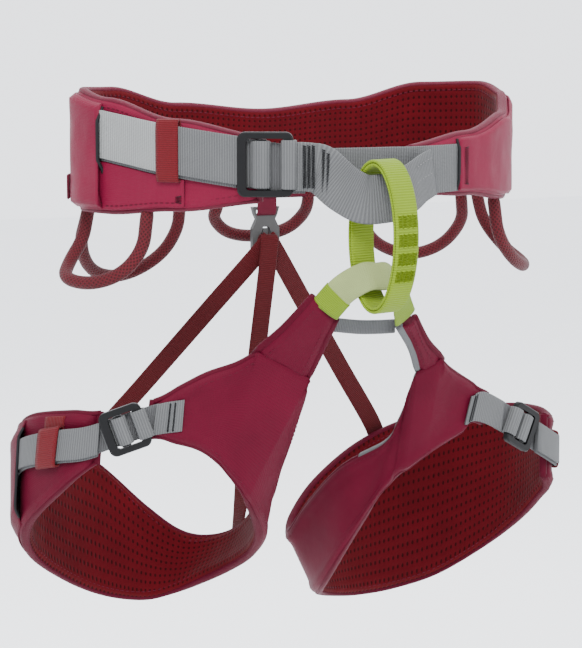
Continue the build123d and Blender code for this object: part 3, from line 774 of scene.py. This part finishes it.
def waist_covers():
    for side, sections in (
            ("left", cover_sections(COVER_START, COVER_END_LEFT, flat(COVER_IN + 0.3), 90, 2.2)),
            ("right", cover_sections(SLOT_RIGHT + 2, -COVER_START, cover_lift, 60, 4.0))):
        lofted(side + "_side_cover", sections, "outer", "waist_belt", ("waist_cover_" + side,))
    belt_piece("lower_front_panel", KEEPER_AT - 8.5, SLOT_RIGHT + 8, lambda s: BELT.bottom(s) + 2.5,
               lambda s: webbing_height(s) - 16.2, flat(SHELL_OUT + 0.5), flat(SHELL_OUT + 1.8), 40, "outer",
               ("waist_lower_panel",))
    rows = []
    for start, end in ((COVER_START + 4, COVER_END_LEFT - 4), (SLOT_RIGHT + 6, -COVER_START - 4)):
        for edge, rise in ((BELT.top, -5), (BELT.bottom, 5)):
            rows.append(belt_row(edge, rise, SHELL_OUT + 1.5, start, end, 80))
    rows.append(belt_row(BELT.bottom, 5, SHELL_OUT + 1.95, KEEPER_AT - 7, SLOT_RIGHT, 20))
    stitches("cover_stitches", rows, "pink", "waist_belt")
    tab = [[BELT.at(s, -18.5 + a, DOUBLED + 2.0 + o) for a, o in band_outline(15, 1.6)]
           for s in spread(-150, -136, 4)]
    lofted("size_tab", tab, "binding", "waist_belt", ("side_tab",), slot="outer_fabric")
    # The lips are near-black: painted shadow in the slot at each cover's end.
    lips = [lip(SLOT_RIGHT + 2, -8, 31, cover_lift(SLOT_RIGHT) + 0.7, 9.0, 24, 1.1),
            lip(COVER_END_LEFT, -18, 12, COVER_IN + 0.6, 6.0, 16, 1.0)]
    lofted_many("cover_lips_painted_shadow", lips, "dark", "waist_belt")
    tacks = []
    for s, low, high, off in ((COVER_END_LEFT - 6, -15, 7, COVER_IN + 1.2),
                              (KEEPER_AT - 5, -23, -19, SHELL_OUT + 1.9)):
        tacks.append(zigzag(lambda up, across: BELT.at(s + across, up, off), 1.8, low, high, high - low))
    threads("cover_bar_tacks", tacks, "dark", "waist_belt", 0.4)


def waist_webbings():
    half = WAIST_WEBBING / 2
    # The layer under the tail uses the darker webbing as painted shade.
    belt_strap("belt_webbing_right", BUCKLE_AT + 16, -150, lambda s: webbing_height(s) - 2, half, lift, 90,
               "mid", ("waist_webbing_right",))
    belt_strap("belt_webbing_tail", BUCKLE_AT + 14, -150, webbing_height, half, tail_lift, 90, "grey",
               ("waist_webbing_tail",))
    # Paler strip laid over the tail webbing between the keeper and the slot.
    belt_strap("belt_webbing_tail_paler_strip", KEEPER_AT + 5, SLOT_RIGHT + 3, webbing_height, half + 0.1,
               lambda s: tail_lift(s) + 0.6, 60, "pale", thick=WEB - 0.48)
    belt_strap("belt_webbing_left", 150, 392, left_webbing_height, half, rear_lift, 130, "grey",
               ("waist_webbing_left",))


def waist_buckle_place():
    """Middle of the waist buckle's window, with its directions along, across and out."""
    out = BELT.out(BUCKLE_AT)
    middle = BELT.at(BUCKLE_AT, webbing_height(BUCKLE_AT), 7.6)
    return middle, Vector((-out.y, out.x, 0)), UPWARD, out


def tie_in():
    along, out = waist_buckle_place()[1::2]
    first = Vector(TIE_IN[0])
    fold_end = BELT.at(BUCKLE_AT, -1.0, 7.6) + along * 17.0 - out * 0.6
    centres = [fold_end.lerp(first, t / 5) for t in range(5)] + dense(TIE_IN, 6)
    tilts = [UPWARD] * 5 + dense(TIE_IN_TILT, 6)
    lofted("tie_in_band", strap_sections(centres, tilts, WAIST_WEBBING, WEB + 0.3), "grey", "waist_belt",
           ("tie_in_loop",))
    face = Vector((-0.305, -0.952, 0))

    def on_band(u):
        return through(TIE_IN, u, (0, 9))

    routes = []
    for x in (-48.6, -46.2, -43.8, -38.6, -36.2):
        if x < -40:
            start = Vector((x, -85 - (x + 49.5) * 0.32, -1)) + face * 1.5
        else:
            start = on_band(2.0 + (x + 39) / 9.0) + face * 1.1
        routes.append(zigzag(lambda up, across: start + Vector((across, 0, up)), 0.9, -12, 12, 26))
    threads("tie_in_tacks", routes, "dark", "waist_belt", 0.38, ("tie_in_bar_tacks",))
    proud = Vector((-0.35, -0.93, 0)) * 1.1
    sew = [[on_band(u) + proud + Vector((0, 0, shift)) for u in spread(7.4, 8.9, 12)] for shift in (-9, 0, 9)]
    stitches("tie_in_stitches", sew, "light", "waist_belt", 1.8, 0.28, 2.8)


def fold_round(name, place, ahead, wide, deep, body, node):
    """Webbing folded round the frame's front bar, ahead mm in front of the window's middle."""
    origin, along, across, out = place
    reach = 9.1
    centres = []
    for a in circle(28):
        x = squarish(math.cos(a), 0.6) * (reach - WEB) / 2
        y = squarish(math.sin(a), 0.6) * (deep + WEB) / 2
        centres.append(origin + along * (ahead + x) + out * y)
    lofted(name, strap_sections(centres, across, wide, WEB, True), "grey", body, (node,), True)


def wrap_round(name, place, bulge, lead_in, under, lead_out, wide, body):
    """Adjuster webbing that comes under the frame, round the sliding bar and back under the frame."""
    origin, along, across, out = place
    back, reach, low, tall = bulge
    track = [(k, under) for k in lead_in]
    for t in spread(0, 1, 18):
        a = math.pi * (0.5 + t)
        track.append((back + reach * math.cos(a), -low - tall * math.sin(a)))
    centres = [origin - along * k + out * o for k, o in track + lead_out]
    lofted(name, strap_sections(centres, across, wide, WEB), "grey", body)


def waist_buckle():
    place = waist_buckle_place()
    fold_round("buckle_webbing_fold", place, 13.5, WAIST_WEBBING, 5.3, "waist_belt", "waist_buckle_fold")
    # Webbing under the buckle, in the darker webbing as painted shade.
    belt_strap("belt_webbing_under", BUCKLE_AT - 22, BUCKLE_AT + 20, lambda s: webbing_height(s) - 1, 14,
               flat(SHELL_OUT + 0.6), 30, "mid", thick=1.3)
    wrap_round("buckle_webbing_wrap", place, (1.2, 3.6, 0.2, 3.6), (17.5, 13, 8), -3.9,
               [(5.5, 2.4), (6.9, 0.2), (8.5, -2.8), (12, -3.0)], WAIST_WEBBING - 1, "waist_slider")


def keeper_ring(name, at, start, end, low, high, inner, outer, body):
    """Elastic keeper: a flat ring round layers of webbing; at(station, height, offset)."""
    thick = 1.1
    stations = spread(start, end, 6)
    sections = []
    for a in circle(32):
        up, away = math.cos(a), math.sin(a)
        h = (low + high) / 2 + squarish(up, 0.35) * (high - low - thick) / 2
        o = (inner + outer) / 2 + squarish(away, 0.55) * (outer - inner - thick) / 2
        ring = []
        for m, s in enumerate(stations):
            grow = 0.5 if m in (0, 6) else 0.56
            ring.append(at(s, h + up * grow, o + away * grow))
        ring += [at(s, h - up * 0.5, o - away * 0.5) for s in reversed(stations)]
        sections.append(ring)
    lofted(name, sections, "elastic", body, (body,), True)


def keeper_on_belt():
    height = webbing_height(KEEPER_AT)
    half = WAIST_WEBBING / 2
    keeper_ring("belt_keeper_ring", BELT.at, KEEPER_AT - KEEPER_WIDE / 2, KEEPER_AT + KEEPER_WIDE / 2,
                height - half - 5.2, height + half + 3.2, KEEPER_BACK[0] - 0.2,
                WEB_LIFTED + 2 * WEB + GAP + 1.4, "waist_keeper")


# ---- leg loops
LEG_END = 21
COVER_FROM, COVER_TO = 16.7, 18.95
COVER_RISE = 3.4
LEG_BUCKLE_HALF = 13
LEG_DOUBLED = KEEPER_BACK[1] + KEEPER_ROOM + WEB + GAP


def leg_pads(side, leg):
    body = side + "_leg"
    for name, sign, material, nodes, puff in (("_outer_pad", 1, "leg_outer_painted_shade", ("_shell", "_foam"), 1.3),
                                              ("_liner_pad", -1, "liner", ("_liner",), 0.8)):
        sections = []
        for u in spread(0.06, LEG_END - 0.06, 190):
            joined = ease((u - 3.8) / 0.2) * ease((6.2 - u) / 0.2)
            pairs = pad_outline(leg.tall(u), ease(min(u, LEG_END - u) / 0.35), puff,
                                lambda h: lumps((u * 14, h, 200 * sign + 31 * leg.side), 15.0, 0.45), 20,
                                joined)
            sections.append([leg.at(u, h, sign * o) for h, o in pairs])
        lofted(body + name, sections, material, body, [body + n for n in nodes])
    pipes = [[edge_ring(leg.at, u, PIPE_IN) for u in spread(0, LEG_END, 210)]]
    for first, last in ((0, 4), (6, LEG_END)):
        stations = spread(first, last, 10 * (last - first))
        pipes.append([edge_ring(leg.at, u, leg.tall(u) - PIPE_IN) for u in stations])
    for u in (0, LEG_END):
        route = [leg.at(u, h, 0) for h in spread(0.5, leg.tall(u) - 0.5, 8)]
        pipes.append(tube_sections(route, END_PIPE_RADIUS, 14))
    lofted_many(body + "_piping", pipes, "leg_binding_painted_shade", body, (body + "_edge_bindings",))
    rows = []
    for off in (SHELL_OUT + 1.15, -SHELL_OUT - 0.75):
        rows.append([leg.at(u, 5.6, off) for u in spread(0.3, 20.7, 220)])
        for first, last in ((0.3, 3.9), (6.1, 20.7)):
            rows.append([leg.at(u, leg.tall(u) - 5.6, off) for u in spread(first, last, 120)])
    stitches(body + "_edge_stitches", rows, "pink", body)
    trim = [edge_ring(leg.at, u, leg.tall(u) - 1.3, 2.3, 3.1) for u in spread(6.05, 10.6, 60)]
    lofted(body + "_lining_edge", trim, INNER_EDGE[side], body, slot="grey_webbing")
    band = surface_sections(spread(6.2, 10.8, 60), lambda u: leg.tall(u) - 15, lambda u: leg.tall(u) - 2.6,
                            flat(-SHELL_OUT - 1.6), flat(-SHELL_OUT - 0.5), leg.at)
    lofted(body + "_lining_band", band, "lining", body, (body + "_inner_lining",))


def leg_cover(side, leg):
    """Patch sewn over the adjuster webbing where it goes under the fabric on the outer thigh."""
    body = side + "_leg"
    foot = SHELL_OUT + 0.6
    raised = LEG_DOUBLED + WEB + 0.5
    sections = []
    for u in spread(COVER_FROM, COVER_TO, 36):
        ends = 0.35 + 0.65 * ease((u - COVER_FROM) / 0.5)
        span = leg.tall(u) - 2 * COVER_RISE

        def inner(h):
            lump = lumps((u * 15, COVER_RISE + h, 60 * leg.side), 12.0, 0.5)
            return foot + (raised - foot) * ease(min(h, span - h) / 12.0) * ends + lump

        sections.append(cover_ring(leg.at, u, COVER_RISE, span, 20, inner, 0.9))
    lofted(body + "_side_cover", sections, "leg_outer_painted_shade", body)
    # Near-black lip along the cover's end: painted shadow of the slot under its edge.
    tall = leg.tall(COVER_TO)
    edge = []
    for h in spread(8, tall - 8, 20):
        near = min(h - COVER_RISE, tall - COVER_RISE - h)
        edge.append(leg.at(COVER_TO, h, SHELL_OUT + 1.0 + (raised - SHELL_OUT - 0.8) * ease(near / 12.0)))
    lofted(body + "_cover_lip_painted_shadow", tube_sections(edge, 0.9, 8), "dark", body)


def leg_buckle_place(leg):
    """Middle of a leg buckle's window, with its directions along, across and out."""
    along = (leg.middle(LEG_BUCKLE_AT + 0.1) - leg.middle(LEG_BUCKLE_AT - 0.1)).normalized()
    out = along.cross(leg.up(LEG_BUCKLE_AT)).normalized() * leg.side
    height = LEG_DOUBLED - GAP - WEB / 2 + 1.2
    return leg.middle(LEG_BUCKLE_AT) + leg.out(LEG_BUCKLE_AT) * height, along, out.cross(along), out


def leg_webbing(side, leg, keeper_at):
    body = side + "_leg"
    half = LEG_WEBBING / 2
    reach = (leg.middle(22) - leg.middle(21)).length
    behind = LEG_BUCKLE_AT - (LEG_BUCKLE_HALF + 2.0) / reach
    before = LEG_BUCKLE_AT + (LEG_BUCKLE_HALF + 7.4) / reach
    front = WEB_CLEAR + 0.5

    def run(name, start, end, shift, inner, material, node, thick=WEB, count=60):
        sections = surface_sections(spread(start, end, count), flat(shift - half), flat(shift + half),
                                    flat(inner), flat(inner + thick), leg.track)
        lofted(body + name, sections, material, body, [body + n for n in node])

    # The adjuster under the tail and the webbing under the buckle use the darker webbing as painted shade.
    run("_adjuster", 17.2, behind, -1.5, LEG_DOUBLED - GAP - WEB, "mid", ["_webbing"])
    run("_adjuster_tail", 17.6, behind, 0, LEG_DOUBLED, "grey", ["_webbing_tail"])
    run("_webbing_under", behind - 0.05, before + 0.02, 0, SHELL_OUT - 0.6, "mid", [], 1.3, 20)
    run("_front_webbing", before - 0.05, 23.1, 0, front, "grey", ["_front_strap"])
    place = leg_buckle_place(leg)
    fold_round(body + "_webbing_fold", place, 10.5, LEG_WEBBING - 1.6, 4.9, body, body + "_buckle_fold")
    wrap_round(body + "_webbing_wrap", place, (0.9, 3.0, 0.0, 3.1), (14.5, 11, 7), -3.2,
               [(4.8, 2.1), (5.6, 0.0), (6.5, -2.8), (10, -2.9)], LEG_WEBBING - 2, body + "_slider")
    span = 7.5 / (leg.middle(keeper_at + 0.5) - leg.middle(keeper_at - 0.5)).length
    keeper_ring(body + "_keeper_ring", leg.track, keeper_at - span, keeper_at + span, -half - 3.6, half + 2.4,
                KEEPER_BACK[0], LEG_DOUBLED + WEB + KEEPER_ROOM + 1.0, body + "_keeper")
    strip = surface_sections(spread(keeper_at - span, keeper_at + span, 8),
                             lambda u: (leg.middle(u) - leg.low(u)).length + half + 1.2,
                             lambda u: leg.tall(u) - 3.0, flat(SHELL_OUT + 0.4), flat(SHELL_OUT + 1.7),
                             leg.at)
    lofted(body + "_keeper_strip", strip, "elastic", body)
    leg_cover(side, leg)
    routes = []
    for u in (22.55, 22.75):
        routes.append(zigzag(lambda a, b: leg.track(u + b / reach, a, front + WEB + 0.2), 0.9, 1 - half,
                             half - 1, 18))
    threads(body + "_webbing_tack", routes, "dark", body, 0.36)


def tie_in_tab(side, rows, leg):
    body = side + "_leg"
    outer = dense([r[0] for r in rows], 8)
    inner = dense([r[1] for r in rows], 8)
    shares = [m / 12 for m in range(13)]
    sections = []
    edges = ([], [])
    face_rows = ([], [])
    for k, (a, b) in enumerate(zip(outer, inner)):
        ahead = heading(outer, k) + heading(inner, k)
        out = (b - a).cross(ahead).normalized() * leg.side
        across = (b - a).normalized()
        wide = (b - a).length
        foot = ahead.normalized() * (-4.0 if k == 0 else 0)
        front, back = [], []
        for t in shares:
            rim = ease(min(t, 1 - t) * wide / 4.5)
            spot = a + foot + across * (wide * t)
            front.append(spot + out * (1.7 + 1.9 * rim + lumps((k * 3, t * 20, 77 * leg.side), 9.0, 0.35)))
            back.append(spot - out * (1.7 + 1.3 * rim))
        sections.append(front + back[::-1])
        inset = across * min(5.0, wide * 0.3)
        for rail, face_row, p, step in zip(edges, face_rows, (a, b), (inset, -inset)):
            rail.append(p + foot)
            face_row.append(p + foot + step + out * 3.5)
    lofted(body + "_tab_pad", sections, "leg_outer_painted_shade", body, (body + "_tie_in_tab",))
    lofted(body + "_tab_outer_piping", tube_sections(edges[0], 2.3, 12), "leg_binding_painted_shade", body)
    lofted(body + "_tab_inner_piping", tube_sections(edges[1], 2.4, 12), INNER_EDGE[side], body,
           slot="edge_binding")
    stitches(body + "_tab_stitches", face_rows, "pink", body, 2.0, 0.3, 3.2)


# ---- tie-in sleeve, belay loop and bridge
def belay():
    turn = math.radians(BELAY_TURN)
    deep = Vector((-math.sin(turn), math.cos(turn), 0))
    wide = Vector((math.cos(turn), math.sin(turn), 0))
    half_deep, half_tall = BELAY_HALF

    def on_ring(a, across, off):
        """Point off mm outside the loop's outline, at angle a round it."""
        d, z = half_deep + off, half_tall + off
        return BELAY_CENTRE + deep * (d * math.cos(a)) + Vector((0, 0, z * math.sin(a))) + wide * across

    outline = band_outline(17.0, 1.75)
    rings = []
    for layer in (1.0, 3.0):
        sections = []
        for a in circle(96):
            normal = deep * (math.cos(a) / (half_deep - layer))
            normal = (normal + Vector((0, 0, math.sin(a) / (half_tall - layer)))).normalized()
            sections.append([on_ring(a, x, -layer) + normal * o for x, o in outline])
        rings.append(sections)
    lofted_many("belay_ring", rings, "lime", "belay_loop", ("belay_loop",), True)
    routes = []
    for start in (162, 176, 190, 204):
        for column in (-5.4, -1.8, 1.8, 5.4):
            routes.append(zigzag(lambda a, b: on_ring(math.radians(a), column + b, 0.2), 1.5, start,
                                 start + 10, 8))
    threads("belay_ring_tacks", routes, "green", "belay_loop", 0.36, ("belay_loop_bar_tack",))
    mark = zigzag(lambda a, b: on_ring(math.radians(a), b, 0.3), 6.5, 2, 7, 7)
    threads("belay_ring_mark", [mark], "dark", "belay_loop", 0.34)


def sleeve():
    route = dense(SLEEVE, 8)
    across = dense(SLEEVE_ACROSS, 8)
    last = len(route) - 1
    sections = []
    for k, p in enumerate(route):
        ahead = heading(route, k)
        out = across[k].cross(ahead).normalized()
        side = ahead.cross(out).normalized()
        wide = 17.4 - 2.4 * ease((k - 38) / 10)
        ring = []
        for a in circle(26):
            x = squarish(math.cos(a), 0.6) * wide / 2
            y = squarish(math.sin(a), 0.8) * 1.5 + lumps((k * 2.1, x, 5), 6.0, 0.35)
            ring.append(p + side * x + out * y)
        sections.append(ring)
    lofted("lower_tie_in_sleeve", sections[2:-3], "sleeve", "waist_belt", ("tie_in_sleeve",))

    def cuff(first, stop):
        return [[p + (p - route[k]).normalized() * 0.5 for p in sections[k]] for k in range(first, stop)]

    lofted_many("sleeve_cuffs", [cuff(0, 7), cuff(last - 8, last + 1)], "lime_flat", "waist_belt",
                ("sleeve_end_bands",))
    lofted("leg_bridge_band", strap_sections(dense(BRIDGE, 8), UPWARD, 8.5, 1.6), "lining", "waist_belt",
           ("leg_bridge_strap",))


# ---- gear loops, hook and risers
CORD_RADIUS = 4.0
HOOK_AT = Vector((3.0, 83.0, -39.0))
RISER_TOP = -64.0
RISER_WIDE = 12.4
RISER_GAP = 1.8


def gear_loops():
    for place, points in GEAR.items():
        node = "haul_loop" if place == "haul" else "gear_loop_" + place
        first, last = [Vector((p[0] * 0.988, p[1] * 0.988, p[2] + 9)) for p in (points[0], points[-1])]
        route = rounded([first] + points + [last])
        sections = []
        for k, (p, ring) in enumerate(zip(route, tube_sections(route, CORD_RADIUS, 18))):
            squeeze = min(1.0, 0.55 + 0.45 * min(k, len(route) - 1 - k) / 9)
            sections.append([p + (q - p) * squeeze for q in ring])
        lofted(node + "_braid", sections, "cord", "gear_" + place, (node,))


def risers():
    x, y, z = HOOK_AT
    sideways = Vector((1, 0, 0))
    near = y - 2.0 - RISER_GAP
    for node, side, station, top_x, top_y in (("riser_left", "left", 16.55, x + 2.5, near),
                                              ("riser_right", "right", 16.25, x - 1.5, near - RISER_GAP),
                                              ("riser_centre", "right", 12.5, x, near - 2 * RISER_GAP)):
        leg = LEGS[side]
        start = Vector((top_x, top_y, RISER_TOP + 1.5))
        edge = leg.at(station, leg.tall(station) + 2, SHELL_OUT + 2.0)
        foot = leg.at(station, leg.tall(station) - 12, SHELL_OUT + 1.6)
        run = foot - start
        across = Vector((-run.z, 0, run.x)).normalized()
        low_across = leg.out(station).cross(run).normalized()
        if low_across.dot(across) < 0:
            low_across = -low_across
        points = [Vector((x, y + 3.4, RISER_TOP + 0.5)), Vector((x, y - 0.2, RISER_TOP + 3.2)), start,
                  start.lerp(edge, 0.33), start.lerp(edge, 0.67), edge, foot]
        tilts = [sideways, sideways, across, across, across * 0.6 + low_across * 0.4, low_across, low_across]
        sections = strap_sections(dense(points, 8), dense(tilts, 8), RISER_WIDE, 1.3)
        obj = lofted(node + "_elastic", sections, "riser", None, (node,))
        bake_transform(obj)
        tack = zigzag(lambda a, b: edge.lerp(foot, 0.5 + b / 14.0) + low_across * a + leg.out(station),
                      1.2, -4.4, 4.4, 12)
        threads(node + "_tack", [tack], "dark", side + "_leg", 0.34)
    tab = [Vector((x, y + back, z + up))
           for back, up in ((-3.4, 7), (-3.4, 3.4), (-3.4, -1.0), (-2.7, -4.2), (0.2, -5.4))]
    lofted("riser_tab_loop", strap_sections(dense(tab, 6), sideways, 13.5, 1.6), "binding", "waist_belt",
           ("riser_tab",), slot="red_elastic")


def refinish(node, material):
    """New finish on a hard part whose CAD shape is kept."""
    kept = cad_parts[node]
    kept.data.materials.clear()
    kept.data.materials.append(MAT[material])


waist_pads()
waist_covers()
waist_webbings()
tie_in()
waist_buckle()
keeper_on_belt()
for side, tab in (("right", RIGHT_TAB), ("left", LEFT_TAB)):
    leg_pads(side, LEGS[side])
    leg_webbing(side, LEGS[side], LEG_KEEPER_AT[side])
    tie_in_tab(side, tab, LEGS[side])
belay()
sleeve()
gear_loops()
risers()
for owner in ("waist", "right_leg", "left_leg"):
    for part in ("_buckle_frame", "_buckle_slider"):
        refinish(owner + part, "metal")
for node in ("drop_seat_hook", "hook_gate"):
    refinish(node, "plastic")

# ---- stage, light and camera
AIM = Vector((-0.014, 0.0065, -0.105))
AZIMUTH = math.radians(-25)
RISE = math.radians(8)
BACK = Vector((math.sin(AZIMUTH) * math.cos(RISE), -math.cos(AZIMUTH) * math.cos(RISE), math.sin(RISE)))
CAMERA_AWAY = 1.4
FLOOR_HALF = 6.0
FLOOR_AT = -0.62
LIT_POINT = Vector((0, 0, -0.1))

world = bpy.data.worlds.new("studio")
bpy.context.scene.world = world
world.use_nodes = True
sky = world.node_tree.nodes["Background"].inputs
sky[0].default_value = (0.93, 0.95, 1.0, 1.0)
sky[1].default_value = 2.6

floor_mesh = bpy.data.meshes.new("floor")
corners = [(x * FLOOR_HALF, y * FLOOR_HALF, FLOOR_AT) for x, y in ((-1, -1), (1, -1), (1, 1), (-1, 1))]
floor_mesh.from_pydata(corners, [], [(0, 1, 2, 3)])
floor = bpy.data.objects.new("floor", floor_mesh)
bpy.context.scene.collection.objects.link(floor)
paper = Finish("pale_paper")
paper.colour(paper.mix(paper.noise(3.0), (0.9, 0.91, 0.92), (0.92, 0.93, 0.94)))
paper.surface(0.9, 0.5)
floor_mesh.materials.append(paper.material)


def lamp(name, place, size, power):
    data = bpy.data.lights.new(name, "AREA")
    data.shape = "DISK"
    data.size = size
    data.energy = power
    obj = bpy.data.objects.new(name, data)
    obj.location = place
    obj.rotation_euler = (Vector(place) - LIT_POINT).to_track_quat("Z", "Y").to_euler()
    bpy.context.scene.collection.objects.link(obj)


lamp("key", (-0.9, -1.6, 1.5), 0.9, 95)
lamp("fill", (1.7, -1.2, 0.5), 1.2, 22)
lamp("top", (0.2, 0.6, 1.7), 1.0, 34)

camera_data = bpy.data.cameras.new("camera")
camera_data.lens = 126.0
camera_data.sensor_width = 36.0
camera = bpy.data.objects.new("camera", camera_data)
camera.location = AIM + BACK * CAMERA_AWAY
camera.rotation_euler = BACK.to_track_quat("Z", "Y").to_euler()
bpy.context.scene.collection.objects.link(camera)
bpy.context.scene.camera = camera
